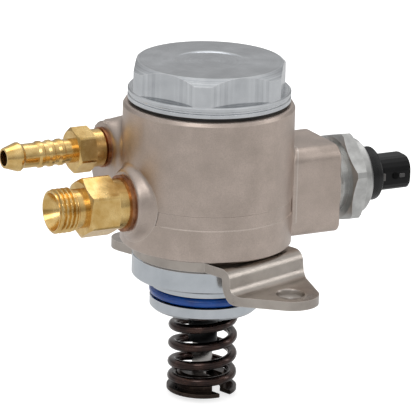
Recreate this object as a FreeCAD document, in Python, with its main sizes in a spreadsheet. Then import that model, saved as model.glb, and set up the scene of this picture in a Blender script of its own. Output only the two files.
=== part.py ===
import FreeCAD, Part
import math
import os
import re
import Sketcher

# High pressure fuel pump, driven by a cam under its plunger.
# Frame: +Z runs up the plunger's axis and +X points to the inlet valve and its connector.
# The origin is on the plunger's axis, level with the underside of the two fixing ears.
# All lengths are in millimetres and all angles in degrees.

SIZES = {
    # Pressed mounting flange
    "sheet_thickness": 3.0,
    "ear_drop": 8.1,
    "flange_radius": 23.0,
    "flange_bore_radius": 12.0,
    "ear_hole_reach": 37.0,
    "ear_hole_radius": 4.4,
    "ear_hole_rim": 0.8,
    "ear_tip_radius": 9.0,
    "ear_corner": 1.5,
    "front_ear_half_width": 16.7,
    "rear_ear_half_width": 12.3,
    "upper_bend_radius": 0.5,
    "lower_bend_radius": 3.0,
    "web_lean": 0.9,
    "web_gap": 0.3,
    "ear_angle": -71.5,
    # Lower collar and its pilot
    "collar_radius": 23.1,
    "collar_lift": 0.9,
    "collar_edge": 0.5,
    "pilot_radius": 17.2,
    "pilot_depth": 9.8,
    "pilot_edge": 0.8,
    "ring_wire": 3.0,
    "ring_depth": 4.1,
    "ring_proud": 0.25,
    "ring_groove_play": 0.35,
    "recess_radius": 12.8,
    "recess_depth": 4.8,
    # Pump body
    "body_radius": 27.0,
    "body_height": 45.0,
    "body_edge": 1.2,
    "spigot_radius": 20.0,
    "spigot_height": 1.1,
    "stem_radius": 11.8,
    "stem_length": 8.1,
    "band_top": 15.0,
    "band_height": 4.5,
    "band_depth": 0.2,
    "port_height": 27.2,
    "block_reach": 41.0,
    "block_half_width": 13.2,
    "block_below": 14.1,
    "block_above": 14.2,
    "block_edge": 4.5,
    "block_end_circle": 13.5,
    "block_end_edge": 1.2,
    "chamber_radius": 6.0,
    "chamber_height": 6.7,
    "damper_bore_radius": 21.7,
    "damper_bore_depth": 12.2,
    "drill_radius": 1.8,
    "wall_step": 0.3,
    # Cylinder sleeve and plunger
    "sleeve_radius": 8.0,
    "sleeve_length": 26.3,
    "sleeve_drop": 2.0,
    "plunger_radius": 5.0,
    "plunger_length": 23.2,
    "stem_end_radius": 3.2,
    "stem_end_drop": 38.6,
    "neck_radius": 2.2,
    "neck_length": 1.7,
    "running_gap": 0.04,
    "press_gap": 0.02,
    "stop_gap": 0.3,
    # Seal carrier and seal
    "carrier_flange_radius": 12.5,
    "carrier_sheet": 1.0,
    "tube_radius": 4.6,
    "tube_wall": 0.5,
    "tube_depth": 21.1,
    "lip_radius": 3.7,
    "seal_length": 3.6,
    # Plunger spring and its retainer
    "spring_radius": 11.0,
    "spring_wire": 3.0,
    "spring_pitch": 6.1,
    "spring_start_angle": 200.0,
    "plate_radius": 11.1,
    "plate_sheet": 1.4,
    "plate_drop": 37.5,
    "cup_radius": 7.8,
    "cup_height": 5.0,
    "slot_width": 4.8,
    "slot_angle": -73.5,
    # Damper and cap
    "cap_flats": 46.0,
    "cap_corner_radius": 25.2,
    "cap_corner_angle": -2.5,
    "cap_hex_height": 8.8,
    "cap_flange_radius": 25.6,
    "cap_flange_height": 3.6,
    "cap_chamfer": 2.3,
    "cap_dish_radius": 11.0,
    "cap_dish_depth": 0.3,
    "cap_skirt_length": 9.1,
    "cap_skirt_wall": 3.5,
    "cap_roof": 4.5,
    "cap_seal_height": 0.9,
    "cap_seal_radius": 24.6,
    "damper_radius": 17.5,
    "damper_rim": 0.8,
    "damper_rim_width": 1.7,
    "damper_swell": 2.3,
    "holder_wall": 1.8,
    "holder_window": 9.0,
    # Outlet boss, fitting and valve
    "outlet_boss_radius": 9.8,
    "outlet_boss_reach": 29.0,
    "outlet_washer_radius": 8.9,
    "outlet_washer_height": 1.4,
    "outlet_shank_radius": 6.0,
    "outlet_shank_length": 6.5,
    "outlet_collar_radius": 7.95,
    "outlet_collar_length": 3.7,
    "outlet_flats": 17.0,
    "outlet_corner_radius": 9.6,
    "outlet_hex_length": 10.3,
    "outlet_neck_radius": 6.2,
    "outlet_neck_length": 3.1,
    "outlet_thread_radius": 7.0,
    "outlet_thread_length": 6.7,
    "outlet_mouth_radius": 6.0,
    "outlet_bore_radius": 2.3,
    "cone_half_angle": 30.0,
    "valve_bore_radius": 4.5,
    "valve_bore_end": 12.0,
    "passage_radius": 1.5,
    "seat_length": 3.0,
    "seat_hole_radius": 1.6,
    "ball_radius": 2.4,
    "ball_gap": 0.05,
    "check_spring_radius": 1.9,
    "check_spring_wire": 0.5,
    "check_lift": 0.6,
    # Inlet boss and barbed fitting
    "inlet_offset": 20.7,
    "inlet_height": 39.6,
    "inlet_boss_radius": 8.2,
    "inlet_boss_reach": 26.4,
    "inlet_boss_depth": 17.0,
    "inlet_boss_drop": 7.0,
    "inlet_washer_radius": 6.4,
    "inlet_washer_height": 1.0,
    "inlet_shank_radius": 5.0,
    "inlet_shank_length": 9.2,
    "inlet_collar_radius": 6.0,
    "inlet_collar_length": 3.9,
    "inlet_flats": 13.0,
    "inlet_corner_radius": 7.3,
    "inlet_hex_length": 6.3,
    "barb_stem_radius": 3.85,
    "barb_length": 23.3,
    "barb_peak_radius": 4.6,
    "barb_rib_radius": 4.25,
    "barb_tip_radius": 3.2,
    "barb_bore_radius": 2.5,
    "barb_ribs": 3,
    "barb_first_rib": 11.5,
    "barb_rib_pitch": 3.5,
    "barb_rib_width": 1.0,
    "inlet_bore_radius": 3.0,
    "inlet_bore_end": 4.0,
    "strainer_length": 8.0,
    "strainer_wall": 0.3,
    "plug_radius": 2.2,
    "plug_height": 2.3,
    "plug_reach": 24.0,
    # Solenoid inlet valve
    "screw_radius": 9.0,
    "screw_length": 17.0,
    "valve_washer_radius": 12.3,
    "valve_washer_height": 1.4,
    "valve_neck_radius": 11.2,
    "valve_neck_length": 3.0,
    "valve_flats": 27.0,
    "valve_corner_radius": 15.1,
    "valve_corner_angle": 43.5,
    "valve_hex_length": 5.0,
    "valve_collar_radius": 12.0,
    "valve_collar_length": 3.6,
    "coil_cavity_radius": 8.0,
    "coil_cavity_depth": 24.0,
    "bobbin_length": 19.0,
    "bobbin_bore_radius": 4.3,
    "bobbin_wall": 0.6,
    "bobbin_cheek": 1.0,
    "core_radius": 4.2,
    "core_length": 10.0,
    "core_flange": 2.0,
    "armature_radius": 3.9,
    "armature_length": 9.1,
    "armature_gap": 0.5,
    "needle_radius": 1.0,
    "needle_head_radius": 2.2,
    "needle_head_length": 1.3,
    "needle_passage_radius": 2.6,
    "inlet_seat_length": 3.5,
    "inlet_seat_radius": 4.95,
    "inlet_seat_face": 14.0,
    "needle_spring_radius": 2.0,
    "needle_spring_wire": 0.5,
    "needle_spring_pocket": 4.0,
    # Electrical connector
    "knurl_radius": 8.5,
    "knurl_length": 4.2,
    "shroud_half_height": 5.35,
    "shroud_half_width": 6.0,
    "shroud_corner": 4.0,
    "shroud_length": 12.2,
    "shroud_wall": 1.2,
    "socket_depth": 8.8,
    "pin_spacing": 6.0,
    "pin_width": 1.5,
    "pin_thickness": 0.6,
    "pin_root": 4.6,
    "pin_setback": 1.8,
}

# Heights and places that follow from the sizes above
DERIVED = {
    "ring_bottom": "ear_drop",
    "ring_top": "ear_drop + sheet_thickness",
    "body_bottom": "ring_top + spigot_height",
    "body_top": "body_bottom + body_height",
    "stem_bottom": "ring_top - stem_length",
    "damper_floor": "body_top - damper_bore_depth",
    "recess_roof": "recess_depth - pilot_depth",
    "sleeve_top": "sleeve_length - sleeve_drop",
    "chamber_top": "sleeve_top + chamber_height",
    "groove_floor": "pilot_radius + ring_proud - ring_wire - 0.05",
    "carrier_bottom": "recess_roof - carrier_sheet",
    "shoulder": "recess_roof + stop_gap",
    "plate_top": "plate_sheet - plate_drop",
    "cup_top": "plate_top + cup_height",
    "spring_bottom_wire": "plate_top + spring_wire / 2",
    "spring_top_wire": "carrier_bottom - spring_wire / 2",
    "cap_base": "body_top + cap_seal_height",
    "cap_hex_base": "cap_base + cap_flange_height",
    "cap_top": "cap_hex_base + cap_hex_height",
    "rim_top": "cap_base - 0.6",
    "rim_bottom": "rim_top - damper_rim",
    "cap_skirt_radius": "damper_bore_radius - 0.2",
    "outlet_collar_end": "outlet_boss_reach + outlet_washer_height",
    "outlet_hex_back": "outlet_collar_end + outlet_collar_length",
    "outlet_hex_front": "outlet_hex_back + outlet_hex_length",
    "outlet_thread_back": "outlet_hex_front + outlet_neck_length",
    "outlet_face": "outlet_thread_back + outlet_thread_length",
    "outlet_shank_end": "outlet_boss_reach - outlet_shank_length",
    "cone_depth": "(outlet_mouth_radius - outlet_bore_radius) / tan(cone_half_angle * 1 deg)",
    "ball_place": "valve_bore_end + seat_length + ball_gap + sqrt(ball_radius^2 - seat_hole_radius^2)",
    "inlet_collar_end": "inlet_boss_reach + inlet_washer_height",
    "inlet_hex_back": "inlet_collar_end + inlet_collar_length",
    "inlet_hex_front": "inlet_hex_back + inlet_hex_length",
    "barb_tip": "inlet_hex_front + barb_length",
    "inlet_shank_end": "inlet_boss_reach - inlet_shank_length",
    "screw_end": "block_reach - screw_length",
    "valve_neck_start": "block_reach + valve_washer_height",
    "valve_hex_start": "valve_neck_start + valve_neck_length",
    "valve_hex_end": "valve_hex_start + valve_hex_length",
    "valve_collar_end": "valve_hex_end + valve_collar_length",
    "cavity_start": "valve_collar_end - coil_cavity_depth",
    "bobbin_start": "cavity_start + 1",
    "bobbin_end": "bobbin_start + bobbin_length",
    "core_start": "bobbin_end - core_length",
    "core_end": "bobbin_end + core_flange",
    "armature_end": "core_start - armature_gap",
    "armature_start": "armature_end - armature_length",
    "needle_head_end": "inlet_seat_face - armature_gap",
    "knurl_end": "valve_collar_end + knurl_length",
    "shroud_end": "knurl_end + shroud_length",
    "socket_floor": "shroud_end - socket_depth",
}

NAME = re.compile(r"[a-z][a-z_]+")
XY, XZ, YZ = "XY_Plane", "XZ_Plane", "YZ_Plane"

document = FreeCAD.newDocument("FuelPump")
sheet = document.addObject("Spreadsheet::Sheet", "Sizes")
for row, (alias, number) in enumerate(SIZES.items(), start=1):
    sheet.set("A%d" % row, alias)
    sheet.set("B%d" % row, str(number))
    sheet.setAlias("B%d" % row, alias)
document.recompute()


def tied(formula):
    """Write a formula of size names as an expression on the sheet's cells."""
    def reference(match):
        word = match.group()
        if word in DERIVED:
            return "(" + tied(DERIVED[word]) + ")"
        return "Sizes." + word if word in SIZES else word
    return NAME.sub(reference, str(formula))


def value(formula):
    """The number that a formula gives with the present sizes."""
    return float(sheet.evalExpression(tied(formula).replace("Sizes.", "")))


def new_body(label):
    body = document.addObject("PartDesign::Body", label)
    body.Label = label
    return body


def place(body, across="0", up="0", turn=None):
    """Set a piece at its distance along Y and Z, or turned about Z."""
    body.setExpression("Placement.Base.y", tied(across))
    body.setExpression("Placement.Base.z", tied(up))
    if turn is not None:
        body.Placement.Rotation = FreeCAD.Rotation(FreeCAD.Vector(0, 0, 1), 1)
        body.setExpression("Placement.Rotation.Angle", tied(turn))


def new_sketch(body, plane, forward="0", up="0"):
    """A sketch on one of the body's origin planes, moved along its normal and its own y."""
    sketch = body.newObject("Sketcher::SketchObject", body.Name + "_sketch")
    roles = {feature.Role: feature for feature in body.Origin.OriginFeatures}
    sketch.AttachmentSupport = [(roles[plane], "")]
    sketch.MapMode = "FlatFace"
    sketch.setExpression("AttachmentOffset.Base.z", tied(forward))
    sketch.setExpression("AttachmentOffset.Base.y", tied(up))
    return sketch


def bind_point(sketch, edge, end, spot):
    """Hold one point of a sketch at two formulas, measured from the sketch's origin."""
    for kind, formula in zip(("DistanceX", "DistanceY"), spot):
        index = sketch.addConstraint(Sketcher.Constraint(kind, -1, 1, edge, end, value(formula)))
        sketch.setExpression("Constraints[%d]" % index, tied(formula))


def add_outline(sketch, points):
    """A closed outline of straight edges through points given as pairs of formulas."""
    spots = [FreeCAD.Vector(value(x), value(y), 0) for x, y in points]
    count = len(spots)
    first = sketch.GeometryCount
    for step in range(count):
        sketch.addGeometry(Part.LineSegment(spots[step], spots[(step + 1) % count]), False)
    joints = [Sketcher.Constraint("Coincident", first + step, 2, first + (step + 1) % count, 1)
              for step in range(count)]
    sketch.addConstraint(joints)
    for step, spot in enumerate(points):
        bind_point(sketch, first + step, 1, spot)


def add_circle(sketch, radius, centre=("0", "0")):
    middle = FreeCAD.Vector(value(centre[0]), value(centre[1]), 0)
    edge = sketch.addGeometry(Part.Circle(middle, FreeCAD.Vector(0, 0, 1), value(radius)), False)
    index = sketch.addConstraint(Sketcher.Constraint("Radius", edge, value(radius)))
    sketch.setExpression("Constraints[%d]" % index, tied(radius))
    bind_point(sketch, edge, 3, centre)


def add_hexagon(sketch, flats, angle):
    corner = "(%s) / sqrt(3)" % flats
    turns = ["(%s + %d) * 1 deg" % (angle, 60 * side) for side in range(6)]
    add_outline(sketch, [("%s * cos(%s)" % (corner, turn), "%s * sin(%s)" % (corner, turn)) for turn in turns])


def revolve(body, points, about="V_Axis", plane=XZ, cut=False, aside="0", up="0"):
    """Turn an outline round a sketch axis, as added or as removed material."""
    sketch = new_sketch(body, plane, aside, up)
    add_outline(sketch, points)
    kind = "PartDesign::Groove" if cut else "PartDesign::Revolution"
    feature = body.newObject(kind, body.Name + "_turned")
    feature.Profile = sketch
    feature.ReferenceAxis = (sketch, [about])
    feature.Angle = 360
    return feature


def turned(label, points, about="V_Axis"):
    """A piece that is one turned solid."""
    body = new_body(label)
    revolve(body, points, about)
    return body


def extrude(body, sketch, length, cut=False, backward=False, both=False):
    """Pad or pocket a sketch along its plane's normal."""
    feature = body.newObject("PartDesign::Pocket" if cut else "PartDesign::Pad", body.Name + "_run")
    feature.Profile = sketch
    feature.setExpression("Length", tied(length))
    feature.Reversed = backward != cut
    if both:
        feature.Midplane = True
    return feature


def cut_flats(body, plane, start, length, flats, angle, outside):
    """Mill six flats on a turned piece, from start on along the plane's normal."""
    sketch = new_sketch(body, plane, start)
    add_circle(sketch, outside)
    add_hexagon(sketch, flats, angle)
    extrude(body, sketch, length, cut=True)


def round_edges(body, radius, chosen, bevel=False):
    """Fillet or bevel the edges of the body's present shape that a test picks out."""
    document.recompute()
    base = body.Tip
    names = ["Edge%d" % (n + 1) for n, edge in enumerate(base.Shape.Edges) if chosen(edge)]
    feature = body.newObject("PartDesign::Chamfer" if bevel else "PartDesign::Fillet", body.Name + "_eased")
    feature.Base = (base, names)
    feature.setExpression("Size" if bevel else "Radius", tied(radius))
    return feature


def middle_of(edge):
    return edge.valueAt((edge.FirstParameter + edge.LastParameter) / 2)


def near(first, second, room=0.01):
    return abs(first - second) < room


def around_z(point):
    return math.hypot(point.x, point.y)


def mounting_flange():
    """Pressed sheet: a flat ring and two ears set down by a joggle to the mounting plane."""
    body = new_body("mounting_flange")
    inner = "(collar_radius + web_gap)"
    outer = "(%s + sheet_thickness)" % inner
    far = "(ear_hole_reach + ear_tip_radius + 1)"
    half = [(outer, "ring_top"), ("%s + web_lean" % outer, "sheet_thickness"), (far, "sheet_thickness"),
            (far, "0"), ("%s + web_lean" % inner, "0"), (inner, "ring_bottom")]
    mirrored = [("-(%s)" % x, z) for x, z in reversed(half)]
    side = new_sketch(body, XZ)
    add_outline(side, half + mirrored)
    extrude(body, side, "2 * flange_radius + 2", both=True)
    reach = value("ear_hole_reach")
    bends = [(inner, "ring_bottom", "upper_bend_radius"),
             (outer, "ring_top", "upper_bend_radius + sheet_thickness"),
             ("%s + web_lean" % outer, "sheet_thickness", "lower_bend_radius"),
             ("%s + web_lean" % inner, "0", "lower_bend_radius + sheet_thickness")]
    for across, height, radius in bends:
        x, z = value(across), value(height)
        round_edges(body, radius, lambda edge: near(abs(middle_of(edge).x), x) and near(middle_of(edge).z, z))
    blank = new_sketch(body, XY, "-1")
    add_circle(blank, "2 * ear_hole_reach")
    add_blank(blank)
    add_circle(blank, "flange_bore_radius")
    for side_sign in ("", "-"):
        add_circle(blank, "ear_hole_radius", (side_sign + "ear_hole_reach", "0"))
    extrude(body, blank, "ring_top + 2", cut=True)

    def sharp_corner(edge):
        spot = middle_of(edge)
        upright = near(edge.Vertexes[0].X, edge.Vertexes[-1].X) and near(edge.Vertexes[0].Y, edge.Vertexes[-1].Y)
        return upright and edge.Length > 2.5 and near(around_z(spot), value("flange_radius"), 0.05)

    round_edges(body, "ear_corner", sharp_corner)

    def hole_rim(edge):
        spot = edge.BoundBox.Center
        circle = near(edge.BoundBox.XLength, 2 * value("ear_hole_radius"), 0.05)
        return circle and near(abs(spot.x), reach, 0.05) and near(spot.z, value("sheet_thickness"), 0.05)

    round_edges(body, "ear_hole_rim", hole_rim)
    place(body, turn="ear_angle")
    return body


def add_blank(sketch):
    """The flange's outline before bending: a disc with two tapered ears."""
    lines = []
    for sign, wide in ((1, "front_ear_half_width"), (-1, "rear_ear_half_width")):
        lines.append((sign, wide))
    centre = FreeCAD.Vector(0, 0, 0)
    up = FreeCAD.Vector(0, 0, 1)
    disc = value("flange_radius")
    tip = value("ear_tip_radius")
    reach = value("ear_hole_reach")
    web = value("collar_radius + web_gap + sheet_thickness + web_lean")
    arcs = []
    for sign, wide in lines:
        half = value(wide)
        root = math.sqrt(disc ** 2 - half ** 2)
        span = math.hypot(reach - web, half)
        lean = math.atan2(half, reach - web) - math.asin(tip / span)
        touch = FreeCAD.Vector(reach + tip * math.sin(lean), tip * math.cos(lean), 0)
        arcs.append((sign, half, root, web, touch))
    front, rear = arcs

    def corner(ear, along, across):
        return FreeCAD.Vector(ear[0] * along, across, 0)

    chain = []
    for ear, other in ((front, rear), (rear, front)):
        turn = ear[0]
        low_root = corner(ear, ear[2], -turn * ear[1])
        low_web = corner(ear, ear[3], -turn * ear[1])
        low_touch = corner(ear, ear[4].x, -turn * ear[4].y)
        high_touch = corner(ear, ear[4].x, turn * ear[4].y)
        high_web = corner(ear, ear[3], turn * ear[1])
        high_root = corner(ear, ear[2], turn * ear[1])
        apex = corner(ear, reach + tip, 0)
        next_root = corner(other, other[2], turn * other[1])
        chain.append(Part.LineSegment(low_root, low_web))
        chain.append(Part.LineSegment(low_web, low_touch))
        chain.append(Part.Arc(low_touch, apex, high_touch))
        chain.append(Part.LineSegment(high_touch, high_web))
        chain.append(Part.LineSegment(high_web, high_root))
        side_point = FreeCAD.Vector(0, turn * disc, 0)
        chain.append(Part.Arc(high_root, side_point, next_root))
    first = sketch.GeometryCount
    sketch.addGeometry(chain, False)
    count = len(chain)
    smooth = (1, 2)
    for step in range(count):
        kind = "Tangent" if step % 6 in smooth else "Coincident"
        sketch.addConstraint(Sketcher.Constraint(kind, first + step, 2, first + (step + 1) % count, 1))
    for offset, (sign, wide) in ((0, lines[0]), (6, lines[1])):
        low, low_slope, arc, high_slope, high, disc_arc = range(first + offset, first + offset + 6)
        bend = "%s(collar_radius + web_gap + sheet_thickness + web_lean)" % ("-" if sign < 0 else "")
        bind_point(sketch, low, 2, (bend, "%s%s" % ("-" if sign > 0 else "", wide)))
        bind_point(sketch, high, 1, (bend, "%s%s" % ("" if sign > 0 else "-", wide)))
        bind_point(sketch, arc, 3, (("" if sign > 0 else "-") + "ear_hole_reach", "0"))
        sketch.addConstraint(Sketcher.Constraint("Horizontal", low))
        sketch.addConstraint(Sketcher.Constraint("Horizontal", high))
        bind_point(sketch, disc_arc, 3, ("0", "0"))
        for edge, radius in ((arc, "ear_tip_radius"), (disc_arc, "flange_radius")):
            index = sketch.addConstraint(Sketcher.Constraint("Radius", edge, value(radius)))
            sketch.setExpression("Constraints[%d]" % index, tied(radius))


def lower_collar():
    """Aluminium collar under the flange, with the pilot that fits the engine's bore."""
    half_groove = "(ring_wire / 2 + ring_groove_play)"
    return turned("lower_collar", [
        ("sleeve_radius + 0.4", "recess_roof"), ("recess_radius", "recess_roof"),
        ("recess_radius", "-pilot_depth + pilot_edge"), ("recess_radius + pilot_edge", "-pilot_depth"),
        ("pilot_radius - pilot_edge", "-pilot_depth"), ("pilot_radius", "-pilot_depth + pilot_edge"),
        ("pilot_radius", "-ring_depth - " + half_groove), ("groove_floor", "-ring_depth - " + half_groove),
        ("groove_floor", "-ring_depth + " + half_groove), ("pilot_radius", "-ring_depth + " + half_groove),
        ("pilot_radius", "collar_lift"), ("collar_radius - collar_edge", "collar_lift"),
        ("collar_radius", "collar_lift + collar_edge"), ("collar_radius", "ring_bottom - collar_edge"),
        ("collar_radius - collar_edge", "ring_bottom"), ("stem_radius + press_gap", "ring_bottom"),
        ("stem_radius + press_gap", "stem_bottom"), ("sleeve_radius + 0.4", "stem_bottom")])


def pilot_o_ring():
    """Blue sealing ring in the pilot's groove."""
    ring = document.addObject("Part::Torus", "pilot_o_ring")
    ring.Label = "pilot_o_ring"
    ring.setExpression("Radius1", tied("pilot_radius + ring_proud - ring_wire / 2"))
    ring.setExpression("Radius2", tied("ring_wire / 2"))
    ring.setExpression("Placement.Base.z", tied("-ring_depth"))
    return ring


def pump_body():
    """Cast and turned body with the inlet valve's block and the two pipe bosses."""
    body = new_body("pump_body")
    revolve(body, [
        ("0", "stem_bottom"), ("stem_radius", "stem_bottom"), ("stem_radius", "ring_top"),
        ("spigot_radius", "ring_top"), ("spigot_radius", "body_bottom"),
        ("body_radius - 0.4", "body_bottom"), ("body_radius", "body_bottom + 0.4"),
        ("body_radius", "body_bottom + band_top - band_height - band_depth"),
        ("body_radius - band_depth", "body_bottom + band_top - band_height"),
        ("body_radius - band_depth", "body_bottom + band_top - band_depth"),
        ("body_radius", "body_bottom + band_top"),
        ("body_radius", "body_top - body_edge"), ("body_radius - body_edge / 2", "body_top - body_edge / 6"),
        ("body_radius - body_edge", "body_top"), ("0", "body_top")])
    block = new_sketch(body, YZ)
    low, high = "port_height - block_below", "port_height + block_above"
    add_outline(block, [("-block_half_width", low), ("block_half_width", low),
                        ("block_half_width", high), ("-block_half_width", high)])
    extrude(body, block, "block_reach")
    document.recompute()

    def block_length(edge):
        spot = middle_of(edge)
        along = near(edge.Vertexes[0].Y, edge.Vertexes[-1].Y) and near(edge.Vertexes[0].Z, edge.Vertexes[-1].Z)
        return along and near(abs(spot.y), value("block_half_width")) and spot.x > value("body_radius")

    round_edges(body, "block_edge", block_length)
    outlet = new_sketch(body, YZ, up="port_height")
    add_circle(outlet, "outlet_boss_radius")
    extrude(body, outlet, "outlet_boss_reach", backward=True)
    inlet = new_sketch(body, YZ, "inlet_boss_depth - inlet_boss_reach")
    add_inlet_boss(inlet)
    extrude(body, inlet, "inlet_boss_depth", backward=True)
    end = [("block_reach + 1", "block_end_circle - 1"), ("block_reach + 1", "2 * block_half_width"),
           ("block_reach + block_end_circle - 2 * block_half_width", "2 * block_half_width")]
    revolve(body, end, "H_Axis", cut=True, up="port_height")
    open_bores(body)
    return body


def add_inlet_boss(sketch):
    """Upright boss: a round head over a straight column, with a web down to the outlet."""
    add_outline(sketch, [
        ("inlet_offset - inlet_boss_radius", "inlet_height"),
        ("inlet_offset - inlet_boss_radius", "inlet_height - inlet_boss_drop"),
        ("inlet_offset - inlet_boss_radius * 0.7", "inlet_height - inlet_boss_drop - inlet_boss_radius * 0.7"),
        ("inlet_offset", "inlet_height - inlet_boss_drop - inlet_boss_radius"),
        ("inlet_offset + inlet_boss_radius * 0.7", "inlet_height - inlet_boss_drop - inlet_boss_radius * 0.7"),
        ("inlet_offset + inlet_boss_radius", "inlet_height - inlet_boss_drop"),
        ("inlet_offset + inlet_boss_radius", "inlet_height"),
        ("inlet_offset + inlet_boss_radius * 0.7", "inlet_height + inlet_boss_radius * 0.7"),
        ("inlet_offset", "inlet_height + inlet_boss_radius"),
        ("inlet_offset - inlet_boss_radius * 0.7", "inlet_height + inlet_boss_radius * 0.7")])


def open_bores(body):
    """The damper's chamber, the plunger's bore, the three ports and the drillings."""
    revolve(body, [("0", "damper_floor"), ("damper_bore_radius", "damper_floor"),
                   ("damper_bore_radius", "body_top + 1"), ("0", "body_top + 1")], cut=True)
    sleeve_bore = "sleeve_radius + press_gap"
    revolve(body, [("0", "stem_bottom - 1"), (sleeve_bore, "stem_bottom - 1"), (sleeve_bore, "sleeve_top"),
                   ("chamber_radius", "sleeve_top"), ("chamber_radius", "chamber_top"),
                   ("0", "chamber_top")], cut=True)
    shank = "outlet_shank_radius + press_gap"
    revolve(body, [("-outlet_boss_reach - 1", "0"), ("-outlet_boss_reach - 1", shank),
                   ("-outlet_shank_end + 0.5", shank), ("-outlet_shank_end + 0.5", "valve_bore_radius"),
                   ("-valve_bore_end", "valve_bore_radius"), ("-valve_bore_end", "passage_radius"),
                   ("-chamber_radius + 1", "passage_radius"), ("-chamber_radius + 1", "0")],
            "H_Axis", cut=True, up="port_height")
    screw = "screw_radius + press_gap"
    seat = "inlet_seat_radius + press_gap"
    revolve(body, [("block_reach + 1", "0"), ("block_reach + 1", screw), ("screw_end - 1", screw),
                   ("screw_end - 1", seat), ("inlet_seat_face", seat),
                   ("inlet_seat_face", "needle_passage_radius"),
                   ("chamber_radius - 1", "needle_passage_radius"), ("chamber_radius - 1", "0")],
            "H_Axis", cut=True, up="port_height")
    shank = "inlet_shank_radius + press_gap"
    revolve(body, [("-inlet_boss_reach - 1", "0"), ("-inlet_boss_reach - 1", shank),
                   ("-inlet_shank_end + 0.2", shank), ("-inlet_shank_end + 0.2", "inlet_bore_radius"),
                   ("-inlet_bore_end", "inlet_bore_radius"), ("-inlet_bore_end", "0")],
            "H_Axis", cut=True, aside="-inlet_offset", up="inlet_height")
    drillings = [
        (("-inlet_bore_end - 2", "damper_bore_radius - drill_radius - 1.0"), "inlet_height", "damper_floor + 1"),
        (("damper_bore_radius - drill_radius - wall_step", "0"), "port_height", "damper_floor + 1")]
    for centre, bottom, top in drillings:
        hole = new_sketch(body, XY, bottom)
        add_circle(hole, "drill_radius", centre)
        extrude(body, hole, "(%s) - (%s)" % (top, bottom), cut=True)
    plug = new_sketch(body, XY, "inlet_height + inlet_boss_radius + wall_step - plug_height")
    add_circle(plug, "plug_radius + press_gap", ("-plug_reach", "inlet_offset"))
    extrude(body, plug, "plug_height + 1", cut=True)


def boss_plug():
    """Plug pressed into the top of the inlet boss."""
    top = "(inlet_height + inlet_boss_radius + wall_step)"
    body = turned("boss_plug", [
        ("0", top + " - plug_height"), ("plug_radius", top + " - plug_height"),
        ("plug_radius", top + " - 0.3"), ("plug_radius - 0.3", top), ("0", top)])
    body.setExpression("Placement.Base.x", tied("-plug_reach"))
    body.setExpression("Placement.Base.y", tied("inlet_offset"))
    return body


def cylinder_sleeve():
    """Hardened cylinder that the plunger runs in."""
    bore = "(plunger_radius + running_gap)"
    return turned("cylinder_sleeve", [
        (bore + " + 0.4", "-sleeve_drop"), ("sleeve_radius - 0.5", "-sleeve_drop"),
        ("sleeve_radius", "0.5 - sleeve_drop"), ("sleeve_radius", "sleeve_top"),
        (bore, "sleeve_top"), (bore, "0.4 - sleeve_drop")])


def plunger():
    """Ground plunger with a slimmer stem and the neck that the retainer hooks on."""
    head = "(-stem_end_drop + plate_drop)"
    neck_low = "(cup_top - plate_sheet - 0.15)"
    return turned("plunger", [
        ("0", "-stem_end_drop"), ("stem_end_radius - 0.4", "-stem_end_drop"),
        ("stem_end_radius", "0.4 - stem_end_drop"), ("stem_end_radius", neck_low),
        ("neck_radius", neck_low), ("neck_radius", neck_low + " + neck_length"),
        ("stem_end_radius", neck_low + " + neck_length"), ("stem_end_radius", "shoulder"),
        ("plunger_radius - 0.3", "shoulder"), ("plunger_radius", "shoulder + 0.3"),
        ("plunger_radius", "shoulder + plunger_length - 0.4"),
        ("plunger_radius - 0.4", "shoulder + plunger_length"), ("0", "shoulder + plunger_length")])


def seal_carrier():
    """Deep drawn black tube with a flange that the spring pushes into the collar."""
    inside = "(tube_radius - tube_wall)"
    return turned("seal_carrier", [
        ("lip_radius", "-tube_depth"), ("tube_radius", "-tube_depth"),
        ("tube_radius", "carrier_bottom - 0.8"), ("tube_radius + 0.8", "carrier_bottom"),
        ("carrier_flange_radius", "carrier_bottom"), ("carrier_flange_radius", "recess_roof"),
        (inside + " + 0.6", "recess_roof"), (inside, "recess_roof - 0.6"),
        (inside, "tube_wall - tube_depth"), ("lip_radius", "tube_wall - tube_depth")])


def plunger_seal():
    """Lip seal at the foot of the carrier's tube."""
    bore = "(stem_end_radius + running_gap)"
    outside = "(tube_radius - tube_wall - press_gap)"
    base = "(tube_wall - tube_depth)"
    return turned("plunger_seal", [
        (bore, base + " + 0.5"), (bore + " + 0.3", base), (outside, base),
        (outside, base + " + seal_length"), (bore + " + 0.5", base + " + seal_length"),
        (bore + " + 0.5", base + " + seal_length - 0.8"), (bore, base + " + seal_length - 1.2")])


def coil(label, radius, wire, low, high, pitch, start, along_x=False, closed=True):
    """Round wire wound as a right-handed coil, its end turns closed up if asked."""
    tight = wire * 1.04
    end_turns = 0.9 if closed else 0.0
    active = (high - low - 2 * end_turns * tight) / pitch
    total = active + 2 * end_turns
    steps = 20
    points = []
    count = int(math.ceil(total * steps))
    for index in range(count + 1):
        turn = total * index / count
        if turn < end_turns:
            climb = turn * tight
        elif turn < end_turns + active:
            climb = end_turns * tight + (turn - end_turns) * pitch
        else:
            climb = high - low - (total - turn) * tight
        angle = math.radians(start) + 2 * math.pi * turn
        points.append(FreeCAD.Vector(radius * math.cos(angle), radius * math.sin(angle), low + climb))
    line = Part.BSplineCurve()
    line.interpolate(points)
    path = Part.Wire([line.toShape()])
    ring = Part.Circle(points[0], line.tangent(line.FirstParameter)[0], wire / 2)
    section = Part.Wire([ring.toShape()])
    piece = document.addObject("Part::Feature", label)
    piece.Label = label
    piece.Shape = path.makePipeShell([section], True, True)
    if along_x:
        piece.Placement = FreeCAD.Placement(
            FreeCAD.Vector(0, 0, value("port_height")), FreeCAD.Rotation(FreeCAD.Vector(0, 1, 0), 90))
    return piece


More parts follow.
